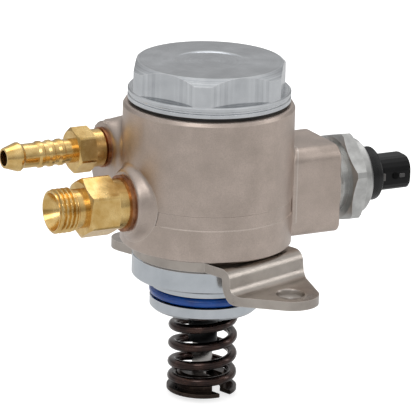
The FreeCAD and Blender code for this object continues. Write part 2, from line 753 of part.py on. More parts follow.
def plunger_spring():
    """Return spring between the seal carrier and the retainer."""
    wire = value("spring_wire")
    return coil("plunger_spring", value("spring_radius") - wire / 2, wire, value("spring_bottom_wire"),
                value("spring_top_wire"), value("spring_pitch"), value("spring_start_angle"))


def spring_retainer():
    """Pressed cup with a slotted plate, hooked in the plunger's neck."""
    body = turned("spring_retainer", [
        ("0", "cup_top - plate_sheet"), ("cup_radius - plate_sheet", "cup_top - plate_sheet"),
        ("cup_radius - plate_sheet", "-plate_drop"), ("plate_radius - 0.3", "-plate_drop"),
        ("plate_radius", "0.3 - plate_drop"), ("plate_radius", "plate_top"), ("cup_radius", "plate_top"),
        ("cup_radius", "cup_top - 0.7"), ("cup_radius - 0.7", "cup_top"), ("0", "cup_top")])
    slot = new_sketch(body, XY, "-plate_drop - 1")
    add_outline(slot, [("0", "-slot_width / 2"), ("plate_radius + 1", "-slot_width / 2"),
                       ("plate_radius + 1", "slot_width / 2"), ("0", "slot_width / 2")])
    extrude(body, slot, "cup_height + plate_sheet + 2", cut=True)
    round_end = new_sketch(body, XY, "-plate_drop - 1")
    add_circle(round_end, "slot_width / 2")
    extrude(body, round_end, "cup_height + plate_sheet + 2", cut=True)
    place(body, turn="slot_angle")
    return body


def damper_cap():
    """Hexagonal cap over the pulsation damper."""
    inside = "(cap_skirt_radius - cap_skirt_wall)"
    step = "(damper_radius - damper_rim_width)"
    body = turned("damper_cap", [
        (inside, "cap_base - cap_skirt_length"), ("cap_skirt_radius", "cap_base - cap_skirt_length"),
        ("cap_skirt_radius", "cap_base"), ("cap_flange_radius - 0.3", "cap_base"),
        ("cap_flange_radius", "cap_base + 0.3"), ("cap_flange_radius", "cap_base + 1.3"),
        ("cap_flange_radius - 0.4", "cap_base + 1.6"), ("cap_flange_radius - 0.4", "cap_base + 2.0"),
        ("cap_flange_radius", "cap_base + 2.3"), ("cap_flange_radius", "cap_hex_base - 0.4"),
        ("cap_corner_radius", "cap_hex_base"), ("cap_corner_radius", "cap_top - cap_chamfer"),
        ("cap_corner_radius - cap_chamfer", "cap_top"), ("cap_dish_radius", "cap_top"),
        ("cap_dish_radius - 0.3", "cap_top - cap_dish_depth"), ("0", "cap_top - cap_dish_depth"),
        ("0", "cap_top - cap_roof"), (step, "cap_top - cap_roof"), (step, "rim_top"), (inside, "rim_top")])
    cut_flats(body, XY, "cap_hex_base", "cap_hex_height + 1", "cap_flats", "cap_corner_angle",
              "2 * cap_corner_radius")
    return body


def cap_seal():
    return turned("cap_seal", [
        ("damper_bore_radius", "body_top"), ("cap_seal_radius", "body_top"),
        ("cap_seal_radius", "cap_base"), ("damper_bore_radius", "cap_base")])


def pulsation_damper():
    """Two thin discs welded at the rim, swelling to a lens."""
    inner = "(damper_radius - damper_rim_width - 0.6)"
    return turned("pulsation_damper", [
        ("0", "rim_bottom - damper_swell"), (inner + " * 0.6", "rim_bottom - damper_swell * 0.85"),
        (inner, "rim_bottom"), ("damper_radius", "rim_bottom"), ("damper_radius", "rim_top"),
        (inner, "rim_top"), (inner + " * 0.6", "rim_top + damper_swell * 0.85"),
        ("0", "rim_top + damper_swell")])


def damper_holder():
    """Windowed ring that carries the damper off the chamber's floor."""
    outside = "(damper_radius - 0.1)"
    body = turned("damper_holder", [
        (outside + " - holder_wall", "damper_floor"), (outside, "damper_floor"),
        (outside, "rim_bottom"), (outside + " - holder_wall", "rim_bottom")])
    for side in range(3):
        window = new_sketch(body, XY, "damper_floor + 3")
        turn = "%d deg" % (60 * side)
        reach, half = "(damper_radius + 1)", "(holder_window / 2)"
        corners = [(reach, "-" + half), (reach, half), ("-" + reach, half), ("-" + reach, "-" + half)]
        add_outline(window, [("%s * cos(%s) - %s * sin(%s)" % (x, turn, y, turn),
                              "%s * sin(%s) + %s * cos(%s)" % (x, turn, y, turn)) for x, y in corners])
        extrude(body, window, "rim_bottom - damper_floor - 6", cut=True)
    return body


def outlet_fitting():
    """Brass pressure fitting with an external thread and a conical mouth."""
    body = turned("outlet_fitting", [
        ("-outlet_face + cone_depth", "outlet_bore_radius"), ("-outlet_face", "outlet_mouth_radius"),
        ("-outlet_face", "outlet_thread_radius - 0.6"), ("-outlet_face + 0.6", "outlet_thread_radius"),
        ("-outlet_thread_back", "outlet_thread_radius"), ("-outlet_thread_back + 0.5", "outlet_neck_radius"),
        ("-outlet_hex_front", "outlet_neck_radius"), ("-outlet_hex_front", "outlet_flats / 2 - 0.3"),
        ("-outlet_hex_front + 0.7", "outlet_corner_radius"), ("-outlet_hex_back - 0.5", "outlet_corner_radius"),
        ("-outlet_hex_back", "outlet_flats / 2 - 0.3"),
        ("-outlet_hex_back", "outlet_collar_radius"), ("-outlet_collar_end", "outlet_collar_radius"),
        ("-outlet_collar_end", "outlet_shank_radius"), ("-outlet_shank_end", "outlet_shank_radius"),
        ("-outlet_shank_end", "outlet_bore_radius")], "H_Axis")
    cut_flats(body, YZ, "-outlet_hex_front", "outlet_hex_length", "outlet_flats", "30",
              "2 * outlet_corner_radius")
    place(body, up="port_height")
    return body


def washer(label, start, thickness, bore, radius, across, up):
    """Flat sealing washer on an axis along X."""
    body = turned(label, [(start, bore), (start, radius), ("%s + %s" % (start, thickness), radius),
                          ("%s + %s" % (start, thickness), bore)], "H_Axis")
    place(body, across, up)
    return body


def outlet_valve_seat():
    body = turned("outlet_valve_seat", [
        ("-valve_bore_end", "passage_radius"), ("-valve_bore_end", "valve_bore_radius - press_gap"),
        ("-valve_bore_end - seat_length", "valve_bore_radius - press_gap"),
        ("-valve_bore_end - seat_length", "seat_hole_radius"),
        ("-valve_bore_end - seat_length / 2", "passage_radius")], "H_Axis")
    place(body, up="port_height")
    return body


def outlet_valve_ball():
    ball = document.addObject("Part::Sphere", "outlet_valve_ball")
    ball.Label = "outlet_valve_ball"
    ball.setExpression("Radius", tied("ball_radius"))
    ball.setExpression("Placement.Base.x", tied("-(ball_place)"))
    ball.setExpression("Placement.Base.z", tied("port_height"))
    return ball


def outlet_valve_spring():
    """Light spring that holds the ball on its seat."""
    wire = value("check_spring_wire")
    start = value("-outlet_shank_end") + wire / 2
    end = value("-(ball_place) - ball_radius - check_lift") - wire / 2
    return coil("outlet_valve_spring", value("check_spring_radius"), wire, start, end,
                wire * 1.9, 0, along_x=True, closed=False)


def inlet_fitting():
    """Brass hose fitting with a lead barb, three low ribs, a hexagon and a screwed shank."""
    tip = "-barb_tip"
    outline = [(tip, "barb_bore_radius"), (tip, "barb_tip_radius"), (tip + " + 4.3", "barb_peak_radius"),
               (tip + " + 4.9", "barb_peak_radius"), (tip + " + 6", "barb_stem_radius")]
    for rib in range(int(SIZES["barb_ribs"])):
        start = "%s + barb_first_rib + %d * barb_rib_pitch" % (tip, rib)
        outline.append((start + " - 0.8", "barb_stem_radius"))
        outline.append((start, "barb_rib_radius"))
        outline.append((start + " + barb_rib_width", "barb_rib_radius"))
        outline.append((start + " + barb_rib_width + 0.4", "barb_stem_radius"))
    outline += [
        ("-inlet_hex_front", "barb_stem_radius"), ("-inlet_hex_front", "inlet_flats / 2 - 0.3"),
        ("-inlet_hex_front + 0.6", "inlet_corner_radius"), ("-inlet_hex_back - 0.4", "inlet_corner_radius"),
        ("-inlet_hex_back", "inlet_flats / 2 - 0.3"), ("-inlet_hex_back", "inlet_collar_radius"),
        ("-inlet_collar_end - 0.5", "inlet_collar_radius"), ("-inlet_collar_end", "inlet_collar_radius - 0.5"),
        ("-inlet_collar_end", "inlet_shank_radius"), ("-inlet_shank_end", "inlet_shank_radius"),
        ("-inlet_shank_end", "barb_bore_radius")]
    body = turned("inlet_fitting", outline, "H_Axis")
    cut_flats(body, YZ, "-inlet_hex_front", "inlet_hex_length", "inlet_flats", "17",
              "2 * inlet_corner_radius")
    place(body, "inlet_offset", "inlet_height")
    return body


def inlet_strainer():
    """Small filter basket behind the inlet fitting."""
    start, end = "-inlet_shank_end + 0.2", "strainer_length - inlet_shank_end"
    body = turned("inlet_strainer", [
        (start, "inlet_bore_radius - 0.6"), (start, "inlet_bore_radius - press_gap"),
        (start + " + 0.8", "inlet_bore_radius - press_gap"),
        (start + " + 0.8", "inlet_bore_radius - 0.6 + strainer_wall"),
        (end, "inlet_bore_radius - 0.6 + strainer_wall"), (end, "0"),
        (end + " - strainer_wall", "0"), (end + " - strainer_wall", "inlet_bore_radius - 0.6")], "H_Axis")
    place(body, "inlet_offset", "inlet_height")
    return body


def valve_hex_body():
    """Steel housing of the inlet valve: screwed shank, hexagon and round collar."""
    body = turned("valve_hex_body", [
        ("screw_end", "needle_radius + 0.2"), ("screw_end", "screw_radius - 0.6"),
        ("screw_end + 0.6", "screw_radius"), ("valve_neck_start", "screw_radius"),
        ("valve_neck_start", "valve_neck_radius"), ("valve_neck_start + 0.9", "valve_neck_radius"),
        ("valve_neck_start + 1.2", "valve_neck_radius - 0.7"), ("valve_hex_start", "valve_neck_radius - 0.7"),
        ("valve_hex_start", "valve_flats / 2 - 0.4"), ("valve_hex_start + 0.9", "valve_corner_radius"),
        ("valve_hex_end - 0.9", "valve_corner_radius"), ("valve_hex_end", "valve_flats / 2 - 0.4"),
        ("valve_hex_end", "valve_collar_radius"), ("valve_collar_end - 0.9", "valve_collar_radius"),
        ("valve_collar_end", "valve_collar_radius - 0.9"), ("valve_collar_end", "coil_cavity_radius"),
        ("cavity_start", "coil_cavity_radius"), ("cavity_start", "needle_spring_radius + 0.6"),
        ("cavity_start - needle_spring_pocket", "needle_spring_radius + 0.6"),
        ("cavity_start - needle_spring_pocket", "needle_radius + 0.2")], "H_Axis")
    cut_flats(body, YZ, "valve_hex_start", "valve_hex_length", "valve_flats", "valve_corner_angle",
              "2 * valve_corner_radius")
    place(body, up="port_height")
    return body


def coil_bobbin():
    cheek = "(coil_cavity_radius - 0.1)"
    barrel = "(bobbin_bore_radius + bobbin_wall)"
    body = turned("coil_bobbin", [
        ("bobbin_start", "bobbin_bore_radius"), ("bobbin_start", cheek),
        ("bobbin_start + bobbin_cheek", cheek), ("bobbin_start + bobbin_cheek", barrel),
        ("bobbin_end - bobbin_cheek", barrel), ("bobbin_end - bobbin_cheek", cheek),
        ("bobbin_end", cheek), ("bobbin_end", "bobbin_bore_radius")], "H_Axis")
    place(body, up="port_height")
    return body


def solenoid_coil():
    start, end = "bobbin_start + bobbin_cheek", "bobbin_end - bobbin_cheek"
    inside, outside = "bobbin_bore_radius + bobbin_wall", "coil_cavity_radius - 0.5"
    body = turned("solenoid_coil", [(start, inside), (start, outside), (end, outside), (end, inside)], "H_Axis")
    place(body, up="port_height")
    return body


def magnet_core():
    body = turned("magnet_core", [
        ("core_start", "0"), ("core_start", "core_radius"), ("bobbin_end", "core_radius"),
        ("bobbin_end", "coil_cavity_radius - press_gap"), ("core_end", "coil_cavity_radius - press_gap"),
        ("core_end", "0")], "H_Axis")
    place(body, up="port_height")
    return body


def valve_armature():
    """Magnetic slug pressed on the needle."""
    bore = "(needle_radius + press_gap)"
    body = turned("valve_armature", [
        ("armature_start", bore), ("armature_start", "armature_radius - 0.3"),
        ("armature_start + 0.3", "armature_radius"), ("armature_end", "armature_radius"),
        ("armature_end", bore)], "H_Axis")
    place(body, up="port_height")
    return body


def valve_needle():
    """Needle with the disc that closes on the inlet seat."""
    head_start = "(needle_head_end - needle_head_length)"
    body = turned("valve_needle", [
        (head_start, "0"), (head_start, "needle_head_radius - 0.2"),
        (head_start + " + 0.2", "needle_head_radius"), ("needle_head_end", "needle_head_radius"),
        ("needle_head_end", "needle_radius"), ("armature_end - 2", "needle_radius"),
        ("armature_end - 2", "0")], "H_Axis")
    place(body, up="port_height")
    return body


def inlet_valve_seat():
    body = turned("inlet_valve_seat", [
        ("inlet_seat_face", "needle_radius + 0.6"), ("inlet_seat_face", "inlet_seat_radius"),
        ("inlet_seat_face + inlet_seat_length", "inlet_seat_radius"),
        ("inlet_seat_face + inlet_seat_length", "needle_radius + 1.4"),
        ("inlet_seat_face + 1", "needle_radius + 0.6")], "H_Axis")
    place(body, up="port_height")
    return body


def needle_spring():
    wire = value("needle_spring_wire")
    low = value("cavity_start - needle_spring_pocket") + wire / 2
    high = value("armature_start") - wire / 2 - 0.1
    return coil("needle_spring", value("needle_spring_radius"), wire, low, high,
                wire * 2.2, 0, along_x=True, closed=False)


def connector_housing():
    """Moulded connector: knurled ring, rounded shroud with a deep socket."""
    body = turned("connector_housing", [
        ("core_end", "0"), ("core_end", "coil_cavity_radius - press_gap"),
        ("valve_collar_end", "coil_cavity_radius - press_gap"), ("valve_collar_end", "knurl_radius"),
        ("knurl_end - 0.5", "knurl_radius"), ("knurl_end", "knurl_radius - 0.5"), ("knurl_end", "0")], "H_Axis")
    shroud = new_sketch(body, YZ, "knurl_end")
    add_rounded_box(shroud, "shroud_half_width", "shroud_half_height", "shroud_corner")
    extrude(body, shroud, "shroud_length")
    socket = new_sketch(body, YZ, "socket_floor")
    add_rounded_box(socket, "shroud_half_width - shroud_wall", "shroud_half_height - shroud_wall",
                    "shroud_corner - shroud_wall")
    extrude(body, socket, "socket_depth + 1", cut=True)
    for sign in ("", "-"):
        slot = new_sketch(body, YZ, "socket_floor - pin_root")
        add_pin(slot, sign, "press_gap")
        extrude(body, slot, "pin_root + 1", cut=True)
    place(body, up="port_height")
    return body


def add_rounded_box(sketch, wide, tall, corner):
    """A rounded rectangle about the sketch's origin, each corner as a chain of chords."""
    points = []
    for quarter, (across, up) in enumerate((("", ""), ("-", ""), ("-", "-"), ("", "-"))):
        for step in range(5):
            turn = 90 * quarter + 22.5 * step
            points.append(("%s(%s - (%s)) + (%s) * cos(%g deg)" % (across, wide, corner, corner, turn),
                           "%s(%s - (%s)) + (%s) * sin(%g deg)" % (up, tall, corner, corner, turn)))
    add_outline(sketch, points)


def add_pin(sketch, sign, room):
    wide = "(pin_thickness / 2 + %s)" % room
    tall = "(pin_width / 2 + %s)" % room
    middle = "%spin_spacing / 2" % sign
    add_outline(sketch, [("%s - %s" % (middle, wide), "-" + tall), ("%s + %s" % (middle, wide), "-" + tall),
                         ("%s + %s" % (middle, wide), tall), ("%s - %s" % (middle, wide), tall)])


def connector_pins():
    """Two flat contact pins, kept as one group."""
    pins = []
    for sign, title in (("", "far_pin"), ("-", "near_pin")):
        pin = new_body(title)
        outline = new_sketch(pin, YZ, "socket_floor - pin_root")
        add_pin(outline, sign, "0")
        extrude(pin, outline, "pin_root + socket_depth - pin_setback")
        place(pin, up="port_height")
        pins.append(pin)
    group = document.addObject("Part::Compound", "connector_pins")
    group.Label = "connector_pins"
    group.Links = pins
    return group


def washers():
    return [
        washer("outlet_washer", "-outlet_collar_end", "outlet_washer_height", "outlet_shank_radius + 0.1",
               "outlet_washer_radius", "0", "port_height"),
        washer("inlet_washer", "-inlet_collar_end", "inlet_washer_height", "inlet_shank_radius + 0.1",
               "inlet_washer_radius", "inlet_offset", "inlet_height"),
        washer("valve_washer", "block_reach", "valve_washer_height", "screw_radius + 0.1",
               "valve_washer_radius", "0", "port_height")]


def check_and_export(pieces):
    document.recompute()
    for item in document.Objects:
        if "Invalid" in item.State or "Error" in item.State:
            raise RuntimeError("failed object: " + item.Label)
    for piece in pieces:
        if piece.Shape.isNull() or not piece.Shape.isValid() or not piece.Shape.Solids:
            raise RuntimeError("bad shape: " + piece.Label)
    os.makedirs("parts", exist_ok=True)
    for piece in pieces:
        piece.Shape.exportStep("parts/%s.step" % piece.Label)
        print("%-22s solids %d volume %.1f" % (piece.Label, len(piece.Shape.Solids), piece.Shape.Volume))


MAKERS = [
    mounting_flange, lower_collar, pilot_o_ring, pump_body, boss_plug, cylinder_sleeve, plunger, seal_carrier,
    plunger_seal, plunger_spring, spring_retainer, damper_cap, cap_seal, pulsation_damper, damper_holder,
    outlet_fitting, outlet_valve_seat, outlet_valve_ball, outlet_valve_spring, inlet_fitting, inlet_strainer,
    valve_hex_body, coil_bobbin, solenoid_coil, magnet_core, valve_armature, valve_needle, inlet_valve_seat,
    needle_spring, connector_housing, connector_pins]
check_and_export([make() for make in MAKERS] + washers())
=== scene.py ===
"""The looks of a high pressure fuel pump: materials, pieces that add form, studio and camera."""

import math

import bmesh
import bpy
from mathutils import Matrix, Vector


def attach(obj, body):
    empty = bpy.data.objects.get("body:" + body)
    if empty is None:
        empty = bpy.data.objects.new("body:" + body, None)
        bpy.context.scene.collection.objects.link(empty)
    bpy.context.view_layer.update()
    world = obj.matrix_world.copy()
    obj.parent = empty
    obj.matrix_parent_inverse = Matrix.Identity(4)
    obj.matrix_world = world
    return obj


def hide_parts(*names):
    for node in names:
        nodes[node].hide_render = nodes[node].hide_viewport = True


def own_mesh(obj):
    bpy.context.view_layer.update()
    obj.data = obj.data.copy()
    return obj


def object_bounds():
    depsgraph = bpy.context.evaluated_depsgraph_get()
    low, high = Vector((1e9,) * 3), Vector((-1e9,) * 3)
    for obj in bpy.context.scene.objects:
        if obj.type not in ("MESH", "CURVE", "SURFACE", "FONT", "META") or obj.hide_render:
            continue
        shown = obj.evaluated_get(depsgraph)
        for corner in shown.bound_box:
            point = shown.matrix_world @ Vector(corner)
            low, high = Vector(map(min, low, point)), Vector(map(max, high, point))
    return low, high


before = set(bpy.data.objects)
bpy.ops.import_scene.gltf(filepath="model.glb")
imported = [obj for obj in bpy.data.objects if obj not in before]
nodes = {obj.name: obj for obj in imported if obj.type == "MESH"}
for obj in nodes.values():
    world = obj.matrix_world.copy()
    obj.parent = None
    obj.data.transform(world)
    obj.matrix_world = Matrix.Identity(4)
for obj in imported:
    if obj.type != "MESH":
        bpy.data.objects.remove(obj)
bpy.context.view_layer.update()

MM = 0.001
TURN = 2.0 * math.pi


# Materials

class Look:
    """A node material on a Principled shader, with short calls for the usual nodes."""

    def __init__(self, name, **sockets):
        self.material = bpy.data.materials.new(name)
        self.material.use_nodes = True
        self.tree = self.material.node_tree
        self.shader = self.tree.nodes["Principled BSDF"]
        self.place = self.node("ShaderNodeTexCoord").outputs["Object"]
        for socket, value in sockets.items():
            self.shader.inputs[socket.replace("_", " ")].default_value = value

    def node(self, kind, **settings):
        made = self.tree.nodes.new(kind)
        for key, value in settings.items():
            setattr(made, key, value)
        return made

    def wire(self, source, target):
        self.tree.links.new(source, target)

    def feed(self, target, value):
        if hasattr(value, "is_linked"):
            self.wire(value, target)
        else:
            target.default_value = value

    def math(self, operation, *values):
        made = self.node("ShaderNodeMath", operation=operation)
        for target, value in zip(made.inputs, values):
            self.feed(target, value)
        return made.outputs[0]

    def ramp(self, value, low, high, start=0.0, end=1.0):
        """A number turned from the range start to end into the range low to high, held at both ends."""
        made = self.node("ShaderNodeMapRange")
        for target, given in zip(made.inputs, (value, start, end, low, high)):
            self.feed(target, given)
        return made.outputs[0]

    def stretched(self, scale):
        made = self.node("ShaderNodeMapping")
        self.wire(self.place, made.inputs["Vector"])
        made.inputs["Scale"].default_value = scale
        return made.outputs[0]

    def noise(self, size, detail=3.0, rough=0.55, place=None):
        """Cloudy noise whose blotches are about this many metres across."""
        made = self.node("ShaderNodeTexNoise")
        self.wire(place or self.place, made.inputs["Vector"])
        made.inputs["Scale"].default_value = 1.0 / size
        made.inputs["Detail"].default_value = detail
        made.inputs["Roughness"].default_value = rough
        return made.outputs["Fac"]

    def axis(self, index):
        split = self.node("ShaderNodeSeparateXYZ")
        self.wire(self.place, split.inputs[0])
        return split.outputs[index]

    def reach(self):
        """The distance from the Z axis."""
        across, along = self.axis(0), self.axis(1)
        return self.math("SQRT", self.math("ADD", self.math("MULTIPLY", across, across),
                                           self.math("MULTIPLY", along, along)))

    def rings(self, distance, size, offset=0.0):
        """Noise that changes only with a distance, such as turning marks about an axis."""
        joined = self.node("ShaderNodeCombineXYZ")
        self.wire(distance, joined.inputs[0])
        joined.inputs[1].default_value = offset
        return self.noise(size, 2.0, 0.6, joined.outputs[0])

    def mix(self, amount, first, second):
        made = self.node("ShaderNodeMix", data_type="RGBA")
        self.feed(made.inputs["Factor"], amount)
        self.feed(made.inputs["A"], first)
        self.feed(made.inputs["B"], second)
        return made.outputs["Result"]

    def edges(self, radius):
        """1 along edges and 0 on the open faces, from how far a small rounding turns the surface."""
        soft = self.node("ShaderNodeBevel", samples=4)
        soft.inputs["Radius"].default_value = radius
        plain = self.node("ShaderNodeNewGeometry")
        dot = self.node("ShaderNodeVectorMath", operation="DOT_PRODUCT")
        self.wire(soft.outputs[0], dot.inputs[0])
        self.wire(plain.outputs["Normal"], dot.inputs[1])
        return self.ramp(dot.outputs["Value"], 1.0, 0.0, 0.86, 0.995)

    def bump(self, height, depth, strength):
        made = self.node("ShaderNodeBump")
        made.inputs["Strength"].default_value = strength
        made.inputs["Distance"].default_value = depth
        self.wire(height, made.inputs["Height"])
        return made.outputs[0]

    def radial_tangent(self):
        made = self.node("ShaderNodeTangent", direction_type="RADIAL", axis="Z")
        self.wire(made.outputs[0], self.shader.inputs["Tangent"])

    def finish(self, colour=None, roughness=None, normal=None):
        for socket, value in (("Base Color", colour), ("Roughness", roughness), ("Normal", normal)):
            if value is not None:
                self.wire(value, self.shader.inputs[socket])
        return self.material


def rgb(red, green, blue):
    """A colour written as the usual 0 to 255 screen values, as linear light."""
    def linear(value):
        value /= 255.0
        return value / 12.92 if value <= 0.04045 else ((value + 0.055) / 1.055) ** 2.4
    return (linear(red), linear(green), linear(blue), 1.0)


def blasted_nickel():
    """Plated casting: blasted grain above, a smoother machined band at the foot, and edges painted brighter
    as a painted edge highlight, partly edge wear.
    """
    look = Look("blasted_nickel", Metallic=1.0)
    clouds = look.noise(9.0 * MM, 4.0)
    grain = look.noise(0.33 * MM, 4.0, 0.7)
    dimples = look.noise(1.1 * MM, 3.0, 0.6)
    machined = look.ramp(look.axis(2), 1.0, 0.0, 26.9 * MM, 27.5 * MM)
    colour = look.mix(look.ramp(clouds, 0.0, 1.0, 0.35, 0.65), rgb(188, 174, 164), rgb(207, 192, 182))
    colour = look.mix(look.ramp(grain, 0.0, 0.4, 0.4, 0.7), colour, rgb(150, 136, 127))
    # Edges painted paler: a painted edge highlight in place of rounded edges catching light, partly edge
    # wear.
    colour = look.mix(look.math("MULTIPLY", look.edges(0.35 * MM), 0.55), colour, rgb(226, 220, 213))
    rough = look.ramp(clouds, 0.37, 0.45, 0.3, 0.7)
    rough = look.math("SUBTRACT", rough, look.math("MULTIPLY", machined, 0.06))
    height = look.math("ADD", look.math("MULTIPLY", grain, 0.45), look.math("MULTIPLY", dimples, 0.55))
    height = look.math("MULTIPLY", height, look.math("SUBTRACT", 1.0, look.math("MULTIPLY", machined, 0.6)))
    return look.finish(colour, rough, look.bump(height, 0.05 * MM, 0.8))


def turned_aluminium(name, bright, dull, roughness, groove, spin=0.55):
    """Turned about the pump's axis: fine rings on the faces and rings along the sides."""
    look = Look(name, Metallic=1.0, Anisotropic=spin)
    look.radial_tangent()
    radius = look.reach()
    fine = look.rings(radius, groove)
    tall = look.rings(look.axis(2), groove * 1.6, 3.7)
    clouds = look.noise(7.0 * MM, 3.0)
    tone = look.math("ADD", fine, look.math("MULTIPLY", clouds, 0.5))
    colour = look.mix(look.ramp(tone, 0.0, 1.0, 0.5, 1.0), dull, bright)
    # Edges painted towards white: a painted edge highlight for the bright chamfers, partly edge wear.
    colour = look.mix(look.math("MULTIPLY", look.edges(0.3 * MM), 0.6), colour, rgb(250, 250, 250))
    rough = look.ramp(look.math("ADD", fine, clouds), roughness - 0.05, roughness + 0.06, 0.6, 1.4)
    height = look.math("ADD", fine, tall)
    return look.finish(colour, rough, look.bump(height, 0.02 * MM, 0.5))


def rolled_steel():
    """Pressed sheet: faint rolling lines, warm grey, rims painted brighter as a painted edge highlight,
    partly edge wear.
    """
    look = Look("rolled_steel", Metallic=1.0)
    clouds = look.noise(11.0 * MM, 4.0)
    lines = look.noise(0.5 * MM, 2.0, 0.6, look.stretched((0.08, 1.0, 1.0)))
    colour = look.mix(look.ramp(clouds, 0.0, 1.0, 0.35, 0.65), rgb(163, 155, 148), rgb(188, 180, 172))
    # Rims painted brighter: a painted edge highlight standing in for rounded sheet edges, partly edge wear.
    colour = look.mix(look.math("MULTIPLY", look.edges(0.4 * MM), 0.6), colour, rgb(228, 222, 214))
    rough = look.ramp(look.math("ADD", lines, clouds), 0.25, 0.38, 0.7, 1.3)
    return look.finish(colour, rough, look.bump(look.math("ADD", lines, clouds), 0.015 * MM, 0.6))


def brass():
    """Polished turned brass, cloudy, with edges painted paler as a painted edge highlight, partly edge wear.
    """
    look = Look("machined_brass", Metallic=1.0)
    clouds = look.noise(4.0 * MM, 4.0)
    lines = look.noise(0.22 * MM, 2.0, 0.6, look.stretched((1.0, 0.12, 0.12)))
    colour = look.mix(look.ramp(clouds, 0.0, 1.0, 0.35, 0.65), rgb(208, 168, 98), rgb(236, 203, 138))
    # Edges painted paler: a painted edge highlight in place of rounded edges catching light, partly edge
    # wear.
    colour = look.mix(look.math("MULTIPLY", look.edges(0.25 * MM), 0.5), colour, rgb(250, 222, 160))
    rough = look.ramp(look.math("ADD", clouds, lines), 0.16, 0.29, 0.7, 1.3)
    return look.finish(colour, rough, look.bump(lines, 0.008 * MM, 0.6))


def plain_metal(name, light, dark, rough, size=5.0 * MM, depth=0.012 * MM, coat=0.0, worn=None):
    """A metal with cloudy colour, uneven gloss, fine grain, and edges in their own colour."""
    look = Look(name, Metallic=1.0, Coat_Weight=coat, Coat_Roughness=0.12)
    clouds = look.noise(size, 4.0)
    grain = look.noise(0.25 * MM, 3.0, 0.65)
    colour = look.mix(look.ramp(clouds, 0.0, 1.0, 0.35, 0.65), dark, light)
    if worn is not None:
        colour = look.mix(look.math("MULTIPLY", look.edges(0.3 * MM), 0.6), colour, worn)
    gloss = look.ramp(look.math("ADD", clouds, grain), rough - 0.06, rough + 0.07, 0.7, 1.3)
    return look.finish(colour, gloss, look.bump(grain, depth, 0.7))


def moulded(name, light, dark, rough, grain_size=0.28 * MM, depth=0.02 * MM, **sockets):
    """Moulded plastic or rubber: a fine even grain, with paler rubbed edges."""
    look = Look(name, **sockets)
    clouds = look.noise(6.0 * MM, 3.0)
    grain = look.noise(grain_size, 3.0, 0.6)
    colour = look.mix(look.ramp(clouds, 0.0, 1.0, 0.35, 0.65), dark, light)
    paler = [min(1.0, 2.2 * value + 0.01) for value in light[:3]] + [1.0]
    colour = look.mix(look.math("MULTIPLY", look.edges(0.25 * MM), 0.35), colour, paler)
    gloss = look.ramp(look.math("ADD", clouds, grain), rough - 0.05, rough + 0.08, 0.7, 1.3)
    return look.finish(colour, gloss, look.bump(grain, depth, 0.6))


body_finish = blasted_nickel()
cap_finish = turned_aluminium("cap_aluminium", rgb(222, 225, 228), rgb(178, 181, 185), 0.2, 0.35 * MM, 0.7)
collar_finish = turned_aluminium("collar_aluminium", rgb(214, 219, 224), rgb(176, 182, 188), 0.16,
                                 0.5 * MM, 0.4)
flange_finish = rolled_steel()
brass_finish = brass()
washer_copper = plain_metal("washer_copper", rgb(178, 128, 92), rgb(132, 88, 60), 0.32, 3.0 * MM)
washer_steel = plain_metal("washer_steel", rgb(196, 194, 190), rgb(158, 155, 150), 0.3, 3.0 * MM)
spring_finish = plain_metal("oil_tempered_wire", rgb(72, 50, 43), rgb(38, 25, 22), 0.24,
                            3.5 * MM, 0.01 * MM, coat=0.5, worn=rgb(110, 84, 72))
retainer_finish = plain_metal("phosphated_sheet", rgb(76, 62, 54), rgb(40, 31, 28), 0.3,
                              4.0 * MM, 0.012 * MM, coat=0.35, worn=rgb(120, 100, 88))
ground_steel = plain_metal("ground_steel", rgb(206, 203, 200), rgb(176, 172, 168), 0.22)
valve_finish = plain_metal("zinc_plated_steel", rgb(206, 206, 204), rgb(178, 178, 176), 0.34,
                           4.0 * MM, 0.014 * MM, worn=rgb(232, 232, 230))
inner_steel = plain_metal("inner_steel", rgb(184, 182, 178), rgb(150, 147, 143), 0.3)
wire_mesh = plain_metal("strainer_mesh", rgb(190, 188, 182), rgb(120, 118, 112), 0.4, 0.5 * MM, 0.05 * MM)
coil_copper = plain_metal("winding_copper", rgb(196, 118, 74), rgb(140, 76, 44), 0.3, 0.6 * MM, 0.03 * MM)
pin_finish = plain_metal("tinned_pin", rgb(214, 206, 186), rgb(182, 172, 150), 0.28, 2.0 * MM)
blue_rubber = moulded("blue_rubber", rgb(8, 84, 176), rgb(3, 58, 138), 0.2, 0.2 * MM, 0.006 * MM,
                      Coat_Weight=0.4, Coat_Roughness=0.08)
seal_rubber = moulded("seal_rubber", rgb(40, 40, 40), rgb(26, 26, 26), 0.5)
tube_black = moulded("black_tube", rgb(34, 34, 36), rgb(18, 18, 20), 0.33, 0.3 * MM, 0.01 * MM, Metallic=0.6)
plastic = moulded("black_plastic", rgb(17, 17, 18), rgb(9, 9, 10), 0.36, Specular_IOR_Level=0.22)
ring_plastic = moulded("knurled_plastic", rgb(26, 26, 27), rgb(12, 12, 13), 0.3, Specular_IOR_Level=0.45)
key_finish = moulded("grey_key", rgb(104, 101, 98), rgb(82, 80, 78), 0.45)
# The rib's grey is a painted highlight on the black connector moulding.
rib_highlight_paint = moulded("painted_highlight_rib", rgb(96, 94, 94), rgb(70, 69, 69), 0.4)
# The stop is painted matte near-black: painted shade of a small recess, put on a proud nub.
stop_shade_paint = moulded("painted_shade_stop", rgb(10, 10, 10), rgb(5, 5, 5), 0.6, Specular_IOR_Level=0.1)

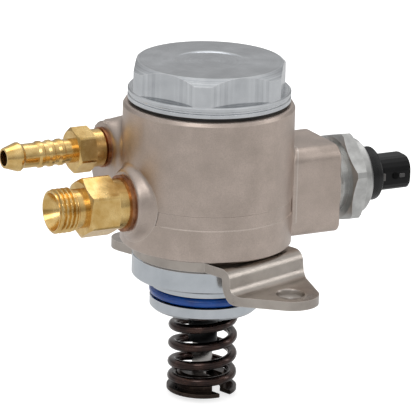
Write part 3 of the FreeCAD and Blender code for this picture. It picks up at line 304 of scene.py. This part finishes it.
FINISHES = {
    "pump_body": body_finish, "boss_plug": body_finish,
    "damper_cap": cap_finish, "damper_holder": inner_steel, "pulsation_damper": ground_steel,
    "cap_seal": seal_rubber, "plunger_seal": seal_rubber,
    "mounting_flange": flange_finish, "lower_collar": collar_finish, "pilot_o_ring": blue_rubber,
    "seal_carrier": tube_black, "cylinder_sleeve": ground_steel, "plunger": ground_steel,
    "plunger_spring": spring_finish, "spring_retainer": retainer_finish,
    "outlet_fitting": brass_finish, "inlet_fitting": brass_finish,
    "outlet_washer": washer_copper, "inlet_washer": washer_copper, "valve_washer": washer_steel,
    "outlet_valve_seat": inner_steel, "outlet_valve_ball": ground_steel, "outlet_valve_spring": inner_steel,
    "inlet_strainer": wire_mesh, "inlet_valve_seat": inner_steel, "valve_needle": ground_steel,
    "needle_spring": inner_steel, "valve_armature": inner_steel, "magnet_core": inner_steel,
    "valve_hex_body": valve_finish, "coil_bobbin": plastic, "solenoid_coil": coil_copper,
    "connector_housing": plastic, "connector_pins": pin_finish,
}
for name, piece in nodes.items():
    if not piece.material_slots:
        piece.data.materials.append(None)
    for slot in piece.material_slots:
        slot.link = "OBJECT"
        slot.material = FINISHES[name]


# Pieces made here, worked out in millimetres

BODY_RADIUS = 27.0
PORT_HEIGHT = 27.2
SKIN = 0.03


def skin(name, rings, finish, loop=False, replaced=(), sharp=32.0):
    """A closed skin through rings that all have as many points.

    With loop the last ring joins the first, and otherwise both are closed by a flat face.
    """
    count = len(rings[0])
    mesh = bmesh.new()
    rows = [[mesh.verts.new(Vector(point) * MM) for point in ring] for ring in rings]
    following = rows[1:] + rows[:1] if loop else rows[1:]
    for low, high in zip(rows, following):
        for spot in range(count):
            after = (spot + 1) % count
            mesh.faces.new((low[spot], low[after], high[after], high[spot]))
    if not loop:
        mesh.faces.new(rows[0])
        mesh.faces.new(rows[-1])
    return settle(name, mesh, finish, replaced, sharp)


def settle(name, mesh, finish, replaced=(), sharp=32.0, turn=0.0):
    """Turns a mesh into a piece of the housing, smooth but for the edges that turn by more than sharp."""
    bmesh.ops.remove_doubles(mesh, verts=mesh.verts, dist=1e-7)
    bmesh.ops.recalc_face_normals(mesh, faces=mesh.faces)
    mesh.transform(Matrix.Rotation(turn, 4, "Z"))
    data = bpy.data.meshes.new(name)
    mesh.to_mesh(data)
    mesh.free()
    data.shade_smooth()
    data.set_sharp_from_angle(angle=math.radians(sharp))
    data.materials.append(finish)
    piece = bpy.data.objects.new(name, data)
    bpy.context.scene.collection.objects.link(piece)
    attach(piece, "housing")
    if replaced:
        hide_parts(*replaced)
    return piece


def about_port(rows, steps):
    """Rings about the ports' axis along X.

    A row is x and radius, or a function that gives both for an angle.
    """
    rings = []
    for row in rows:
        ring = []
        for step in range(steps):
            angle = TURN * step / steps
            x, radius = row(angle) if callable(row) else row
            ring.append((x, radius * math.cos(angle), PORT_HEIGHT + radius * math.sin(angle)))
        rings.append(ring)
    return rings


def outlet_fitting():
    """Union with a cone seat, a cut thread, a hexagon with turned chamfers, and a collar."""
    mouth, cone_end, relief, hex_left, hex_right = -54.2, -47.79, -47.0, -44.4, -34.1
    seat, shank_end = -30.4, -22.5
    bore, shank, collar, rim, corner, flat = 2.3, 6.0, 7.95, 8.2, 9.6, 8.5
    chamfer_left, chamfer_right = 0.7, -0.5
    crest, root, pitch = 7.0, 6.1, 1.5
    flat_root, flank, run_out, lead_in = 0.12, 0.68, 0.9, 0.35
    cone_mouth, lip, relief_radius = 6.0, 6.35, root + 0.1
    step_along, thread_rows, around = 0.1, 70, 144

    def hexagon(angle):
        return min(corner, flat / math.cos((angle + TURN / 12) % (TURN / 6) - TURN / 12))

    def chamfered(end, inward):
        return lambda angle: (end + inward * (hexagon(angle) - rim) / (corner - rim), hexagon(angle))

    def cut(x):
        def row(angle):
            wave = abs(2.0 * ((x / pitch + angle / TURN) % 1.0) - 1.0)
            ridge = min(1.0, max(0.0, (wave - flat_root) / flank)) * min(1.0, (relief - x) / run_out)
            return x, min(root + (crest - root) * ridge, root + lead_in + x - mouth)
        return row

    union = [(shank_end, bore), (shank_end, shank), (seat, shank), (seat, collar), (hex_right, collar),
             (hex_right, rim), chamfered(hex_right, chamfer_right), chamfered(hex_left, chamfer_left),
             (hex_left, rim), (hex_left, relief_radius), (relief, relief_radius)]
    thread = [cut(relief - step_along * step) for step in range(1, thread_rows + 1)]
    cone = [(mouth, lip), (mouth, cone_mouth), (cone_end, bore)]
    skin("outlet_fitting_cut", about_port(union + thread + cone, around), brass_finish, loop=True,
         replaced=("outlet_fitting",), sharp=24.0)


def return_spring():
    """Helical spring with closed ends, turned so that its strands lie as in the photograph."""
    radius, wire, low, high, pitch = 9.5, 3.0, -34.6, -7.5, 6.1
    end_pitch, end_turns, start = 3.12, 0.9, math.radians(355.0)
    per_turn, around_wire, nudge = 56, 18, 0.01
    open_turns = (high - low - 2.0 * end_turns * end_pitch) / pitch
    turns = open_turns + 2.0 * end_turns

    def height(turned):
        first = min(turned, end_turns) * end_pitch
        middle = min(max(turned - end_turns, 0.0), open_turns) * pitch
        return low + first + middle + max(turned - end_turns - open_turns, 0.0) * end_pitch

    rings = []
    wire_angles = [TURN * spot / around_wire for spot in range(around_wire)]
    steps = int(turns * per_turn)
    for step in range(steps + 1):
        turned = turns * step / steps
        angle = start + TURN * turned
        outward = Vector((math.cos(angle), math.sin(angle), 0.0))
        rise = (height(turned + nudge) - height(turned - nudge)) / (2.0 * nudge)
        forward = Vector((-math.sin(angle) * TURN * radius, math.cos(angle) * TURN * radius, rise))
        along = forward.normalized()
        across = along.cross(outward)
        centre = outward * radius + Vector((0.0, 0.0, height(turned)))
        rings.append([centre + (outward * math.cos(part) + across * math.sin(part)) * wire / 2
                      for part in wire_angles])
    piece = skin("return_spring", rings, spring_finish, replaced=("plunger_spring",))
    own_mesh(piece)


def outline_circle(radius, steps=72):
    """Points round a circle in YZ about the ports' axis, each with its outward direction."""
    ways = [(math.cos(TURN * step / steps), math.sin(TURN * step / steps)) for step in range(steps)]
    return [(radius * out, PORT_HEIGHT + radius * high, out, high) for out, high in ways]


def outline_rounded(corners, steps=12):
    """Points with outward directions round an outline in YZ that is given by its corners.

    A corner is its centre across and up, its radius, its first angle and its sweep in degrees.
    """
    spots = []
    for across, up, radius, first, sweep in corners:
        for step in range(steps + 1):
            angle = math.radians(first + sweep * step / steps)
            spots.append((across + radius * math.cos(angle), up + radius * math.sin(angle),
                          math.cos(angle), math.sin(angle)))
    return spots


def prism(name, outline, sections):
    """An outline in YZ carried along X; a section is x and how far the outline moves outward there."""
    rings = [[(x, across + out * grow, up + high * grow) for across, up, out, high in outline]
             for x, grow in sections]
    skin(name, rings, body_finish)


def flare(name, outline, side, spread, face=None, inset=0.0, loop=True):
    """The cast rounding where a boss or the block runs into the body's round wall.

    It starts on the boss's face, or without one on its side, and ends just under the wall. The last point
    of each ring lies inside the casting and closes the piece there.
    """
    pull_from_face, pull_from_wall, end_sunk, steps = 0.35, 0.4, 0.02, 10
    behind_wall, inside_outline = 2.0, 1.5
    rings = []
    for across, up, out, high in outline:
        wide = spread(out, high)

        def on_wall(grow, sunk=0.0):
            y = across + out * grow
            return Vector((side * math.sqrt((BODY_RADIUS - sunk) ** 2 - y * y), y, up + high * grow))

        wall = on_wall(0.0)
        if face is None:
            start = Vector((wall.x + side * wide, across + out * SKIN, up + high * SKIN))
            second = third = wall + Vector((0.0, out, high)) * SKIN
        else:
            start = Vector((side * (face + SKIN), across - out * inset, up - high * inset))
            pull = pull_from_face * wide
            second = Vector((side * (face + SKIN), across + out * pull, up + high * pull))
            third = on_wall(pull_from_wall * wide, -SKIN)
        end = on_wall(wide, end_sunk)
        ring = []
        for step in range(steps + 1):
            part = step / steps
            rest = 1.0 - part
            ring.append(start * rest ** 3 + second * 3 * rest ** 2 * part + third * 3 * rest * part ** 2
                        + end * part ** 3)
        ring.append(Vector((side * (abs(wall.x) - behind_wall), across - out * inside_outline,
                            up - high * inside_outline)))
        rings.append(ring)
    skin(name, rings, body_finish, loop=loop)


def block_forms():
    """The block's square end and the rounding at its root."""
    half, low, high = 13.2 + SKIN, 13.1 - SKIN, 41.4 + SKIN
    end, inside, root_foot = 41.0 + SKIN, 18.0, 18.0
    top_edge, low_edge, root = 4.5, 3.0, 1.7
    end_edge = [(40.2, 0.0), (40.65, -0.12), (40.93, -0.4), (end, -0.8)]
    top = [(half - top_edge, high - top_edge, top_edge, 0, 90),
           (top_edge - half, high - top_edge, top_edge, 90, 90)]
    foot = [(low_edge - half, low + low_edge, low_edge, 180, 90),
            (half - low_edge, low + low_edge, low_edge, 270, 90)]
    prism("block_casting", outline_rounded(top + foot), [(inside, 0.0)] + end_edge)
    arch = [(half, root_foot, 1.0, 0.0)] + outline_rounded(top) + [(-half, root_foot, -1.0, 0.0)]
    flare("block_root", arch, 1.0, lambda out, up: root, loop=False)


def boss_forms():
    """The cast rounding of the outlet boss, and the smooth inlet boss with the web on its near side."""
    outlet_radius, outlet_face, outlet_root, outlet_edge = 9.8, 29.0, 3.0, 0.35
    flare("outlet_boss_flare", outline_circle(outlet_radius), -1.0, lambda out, up: outlet_root,
          face=outlet_face, inset=outlet_edge)
    centre, top, foot, radius = 20.7, 39.6, 32.6, 8.2
    face, back, edge, root, web, around = 26.4, 9.4, 0.6, 2.2, 3.4, 24
    face_edge = [(-25.9, 0.0), (-26.2, -0.1), (-26.36, -0.3), (-face - SKIN, -edge)]
    boss = outline_rounded([(centre, top, radius + SKIN, 0, 180),
                            (centre, foot, radius + SKIN, 180, 180)], around)
    prism("inlet_boss_casting", boss, [(SKIN - back, 0.0)] + face_edge)
    near_side = outline_rounded([(centre, top, radius, 75, 105), (centre, foot, radius, 180, 95)], around)
    flare("inlet_boss_flare", near_side, -1.0, lambda out, up: root + web * max(0.0, -out), face=face,
          inset=edge, loop=False)


def knurled_ring():
    """Ring of fine knurls round the foot of the connector."""
    left, right, outer, inner, edge = 54.02, 59.3, 8.5, 6.4, 0.3
    raised, sunk, plain, around, rows = 0.12, -0.06, 0.35, 132, 12

    def knurl(row):
        def spot(angle):
            up = (round(angle / TURN * around) + row) % 2
            x = left + plain + (right - left - 2 * plain) * row / rows
            return x, outer + (raised if up else sunk)
        return spot

    before, after = [(left, inner), (left, outer - edge)], [(right, outer - edge), (right, inner)]
    band = [knurl(row) for row in range(rows + 1)]
    skin("connector_ring", about_port(before + band + after, around), ring_plastic, loop=True, sharp=60.0)


def connector_marks():
    """The key at the ring, the short rib and the round stop on the connector's near side."""
    side, stop_x, stop_radius, foot = -6.0, 64.9, 1.1, 0.3

    def pad(left, right, half_height, corner):
        high, low = PORT_HEIGHT + half_height, PORT_HEIGHT - half_height
        return outline_rounded([(right, high, corner, 0, 90), (left, high, corner, 90, 90),
                                (left, low, corner, 180, 90), (right, low, corner, 270, 90)], 4)

    key = pad(59.55, 60.85, 0.95, 0.25)
    rib = pad(66.5, 67.9, 0.35, 0.3)
    stop = [(stop_x + across, up, out, high) for across, up, out, high in outline_circle(stop_radius, 32)]
    for name, outline, proud, finish in (("connector_key", key, 0.55, key_finish),
                                         # the rib's grey finish is a painted highlight
                                         ("connector_rib", rib, 0.4, rib_highlight_paint),
                                         # the stop's matte black is painted shade
                                         ("connector_stop", stop, 0.45, stop_shade_paint)):
        sections = [(foot, 0.0), (0.15 - proud, 0.0), (0.04 - proud, -0.06), (-proud, -0.18)]
        rings = [[(x + out * grow, side + depth, up + high * grow) for x, up, out, high in outline]
                 for depth, grow in sections]
        skin(name, rings, finish)


def bent(points, radii, steps=8):
    """A line through points in XZ with its inner corners rounded, as the same number of points each time."""
    spots = [Vector(points[0])]
    for before, corner, after, radius in zip(points, points[1:], points[2:], radii):
        corner = Vector(corner)
        back, ahead = (Vector(before) - corner).normalized(), (Vector(after) - corner).normalized()
        half = back.angle(ahead) / 2.0
        centre = corner + (back + ahead).normalized() * radius / math.sin(half)
        first = corner + back * radius / math.tan(half) - centre
        last = corner + ahead * radius / math.tan(half) - centre
        for step in range(steps + 1):
            turned = first.lerp(last, step / steps)
            spots.append(centre + turned.normalized() * radius)
    spots.append(Vector(points[-1]))
    return spots


def mounting_flange():
    """Pressed sheet: a flat ring and two joggled ears, the rear one narrower and set a little to one side."""
    inner, outer, lean, sheet, drop = 23.4, 26.4, 0.9, 3.0, 8.1
    hole, rim, disc, bore = 4.4, 0.8, 23.0, 12.0
    bend, start, flat_from = outer + lean, 14.0, 31.0
    bends_above, bends_below = (3.5, 3.0), (0.5, 6.0)
    hole_circle, shift, turn = 37.0, 5.5, math.radians(-71.5)
    front_half, front_tip, rear_half, rear_tip = 16.7, 9.0, 7.0, 7.5
    ear_steps, flank_steps, tip_steps, around = 16, 8, 24, 120
    mesh = bmesh.new()

    def ear(side, middle, half, reach, tip):
        """A joggled ear along X: bent web, flat plate with its hole, and round tip."""
        def at(x, y, z):
            return mesh.verts.new(Vector((side * x, middle + y, z)) * MM)

        def strip(low, high, closed=False):
            for spot in range(len(low) - (0 if closed else 1)):
                after = (spot + 1) % len(low)
                mesh.faces.new((low[spot], low[after], high[after], high[spot]))

        span = math.hypot(reach - bend, half)
        taper = math.atan2(half, reach - bend) - math.asin(tip / span)
        touch = Vector((reach + tip * math.sin(taper), tip * math.cos(taper)))
        slope = (touch.y - half) / (touch.x - bend)
        flat_half = half + slope * (flat_from - bend)
        shares = [2.0 * step / ear_steps - 1.0 for step in range(ear_steps + 1)]
        upper = bent([(start, drop + sheet), (outer, drop + sheet), (bend, sheet), (flat_from, sheet)],
                     bends_above)
        lower = bent([(start, drop), (inner, drop), (inner + lean, 0.0), (flat_from, 0.0)], bends_below)
        previous = None
        for over, under in zip(upper, lower):
            wide = [half if spot.x < bend else half + slope * (spot.x - bend) for spot in (over, under)]
            ring = ([at(over.x, share * wide[0], over.y) for share in shares]
                    + [at(under.x, share * wide[1], under.y) for share in reversed(shares)])
            if previous:
                strip(previous, ring, closed=True)
            else:
                mesh.faces.new(ring)
            previous = ring
        edge = [Vector((flat_from - reach, share * flat_half)) for share in shares]
        flank = [Vector((flat_from, flat_half)).lerp(touch, step / flank_steps) - Vector((reach, 0.0))
                 for step in range(1, flank_steps + 1)]
        opening = math.atan2(flank[-1].y, flank[-1].x)
        tip_angles = [opening * (1 - step / tip_steps) for step in range(1, 2 * tip_steps)]
        round_tip = [Vector((math.cos(angle), math.sin(angle))) * tip for angle in tip_angles]
        other = [Vector((spot.x, -spot.y)) for spot in reversed(flank)]
        border = edge + flank + round_tip + other
        soft = 0.3 * rim
        hole_wall = ((hole + rim, sheet), (hole + soft, sheet - soft), (hole, sheet - rim), (hole, 0.0))
        top = [at(reach + spot.x, spot.y, sheet) for spot in border]
        low = [at(reach + spot.x, spot.y, 0.0) for spot in border]
        ways = [spot.normalized() for spot in border]
        wall = [[at(reach + way.x * radius, way.y * radius, z) for way in ways] for radius, z in hole_wall]
        levels = [top] + wall + [low]
        for one, two in zip(levels, levels[1:]):
            strip(one, two, closed=True)
        first = len(edge) - 1
        strip(low[first:] + low[:1], top[first:] + top[:1])

    ear(1.0, 0.0, front_half, hole_circle, front_tip)
    ear(-1.0, shift, rear_half, math.sqrt(hole_circle ** 2 - shift ** 2), rear_tip)
    corners = ((bore, drop), (disc, drop), (disc, drop + sheet), (bore, drop + sheet))
    angles = [TURN * step / around for step in range(around)]
    rounds = [[mesh.verts.new(Vector((radius * math.cos(angle), radius * math.sin(angle), z)) * MM)
               for angle in angles] for radius, z in corners]
    for low, high in zip(rounds, rounds[1:] + rounds[:1]):
        for spot in range(around):
            after = (spot + 1) % around
            mesh.faces.new((low[spot], low[after], high[after], high[spot]))
    settle("mounting_flange_pressed", mesh, flange_finish, replaced=("mounting_flange",), turn=turn)


outlet_fitting()
return_spring()
block_forms()
boss_forms()
knurled_ring()
connector_marks()
mounting_flange()


# Studio

FLOOR_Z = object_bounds()[0][2] - 0.0004
WHITE = (1.0, 1.0, 1.0, 1.0)
PAPER_WHITE = 0.74
PAPER_IN_METAL = 0.06
PAPER_TONES = ((0.62, 0.62, 0.62, 1.0), (0.64, 0.64, 0.64, 1.0))
AIR_LEVELS = {"camera": 1.0, "low": 0.30, "high": 0.85}
AIR_RISE = (0.0, 0.9)

floor_mesh = bpy.data.meshes.new("studio_floor")
shape = bmesh.new()
bmesh.ops.create_grid(shape, x_segments=8, y_segments=8, size=6.0)
shape.to_mesh(floor_mesh)
shape.free()
floor = bpy.data.objects.new("studio_floor", floor_mesh)
floor.location = (0.0, 0.0, FLOOR_Z)
bpy.context.scene.collection.objects.link(floor)

floor_look = Look("studio_paper", Roughness=0.9, Emission_Color=WHITE)
seen = floor_look.node("ShaderNodeLightPath")
mirrored = floor_look.math("MAXIMUM", seen.outputs["Is Glossy Ray"], seen.outputs["Is Transmission Ray"])
glow = floor_look.math("ADD", floor_look.math("MULTIPLY", seen.outputs["Is Camera Ray"], PAPER_WHITE),
                       floor_look.math("MULTIPLY", mirrored, PAPER_IN_METAL))
floor_look.wire(glow, floor_look.shader.inputs["Emission Strength"])
floor_look.finish(floor_look.mix(floor_look.ramp(floor_look.noise(0.2), 0.0, 1.0), *PAPER_TONES))
floor.data.materials.append(floor_look.material)

world = bpy.data.worlds.new("studio_air")
bpy.context.scene.world = world
world.use_nodes = True
air = world.node_tree
background = air.nodes["Background"]
path = air.nodes.new("ShaderNodeLightPath")
where = air.nodes.new("ShaderNodeTexCoord")
split = air.nodes.new("ShaderNodeSeparateXYZ")
air.links.new(where.outputs["Generated"], split.inputs[0])
height = air.nodes.new("ShaderNodeMapRange")
for target, value in zip(height.inputs[1:5], AIR_RISE + (AIR_LEVELS["low"], AIR_LEVELS["high"])):
    target.default_value = value
air.links.new(split.outputs[2], height.inputs[0])
pick = air.nodes.new("ShaderNodeMix")
pick.data_type = "FLOAT"
air.links.new(path.outputs["Is Camera Ray"], pick.inputs["Factor"])
air.links.new(height.outputs[0], pick.inputs["A"])
pick.inputs["B"].default_value = AIR_LEVELS["camera"]
air.links.new(pick.outputs["Result"], background.inputs["Strength"])
background.inputs["Color"].default_value = WHITE


def lamp(name, place, size, power):
    """A rectangular softbox that looks at the pump."""
    aim = (0.0, 0.0, 0.02)
    light = bpy.data.lights.new(name, "AREA")
    light.shape = "RECTANGLE"
    light.size, light.size_y = size
    light.energy = power
    made = bpy.data.objects.new(name, light)
    made.location = place
    made.rotation_euler = (Vector(aim) - Vector(place)).to_track_quat("-Z", "Y").to_euler()
    bpy.context.scene.collection.objects.link(made)


lamp("key_softbox", (-0.9, -0.8, 1.0), (0.6, 0.6), 3.0)
lamp("top_softbox", (0.1, 0.3, 1.3), (0.9, 0.9), 5.0)
lamp("right_strip", (1.05, -0.5, 0.45), (0.25, 0.7), 1.3)

# Camera, with the photograph's side, height, distance and small roll; it aims at a point of the pump's axis

AZIMUTH, ELEVATION, ROLL, DISTANCE = math.radians(-28.0), math.radians(16.6), math.radians(1.6), 1.5
AIM = Vector((0.0, 0.0, 0.0232))
PICTURE, AIM_IN_PICTURE = 415.0, (206.3, 205.0)
PIXELS_PER_MM = 3.18
right = Vector((math.cos(AZIMUTH), math.sin(AZIMUTH), 0.0))
away = Vector((-math.sin(AZIMUTH), math.cos(AZIMUTH), 0.0))
back = (-away * math.cos(ELEVATION) + Vector((0.0, 0.0, math.sin(ELEVATION)))).normalized()
up = back.cross(right)
tilted_right = right * math.cos(ROLL) + up * math.sin(ROLL)
tilted_up = up * math.cos(ROLL) - right * math.sin(ROLL)
camera_data = bpy.data.cameras.new("camera")
camera_data.sensor_width = 36.0
camera_data.lens = camera_data.sensor_width * PIXELS_PER_MM * DISTANCE / MM / PICTURE
camera_data.shift_x = (PICTURE / 2 - AIM_IN_PICTURE[0]) / PICTURE
camera_data.shift_y = (AIM_IN_PICTURE[1] - PICTURE / 2) / PICTURE
camera_data.clip_start = 0.05
camera = bpy.data.objects.new("camera", camera_data)
turned = Matrix((tilted_right, tilted_up, back)).transposed().to_4x4()
camera.matrix_world = Matrix.Translation(AIM + back * DISTANCE) @ turned
bpy.context.scene.collection.objects.link(camera)
bpy.context.scene.camera = camera
bpy.context.scene.view_settings.view_transform = "Standard"
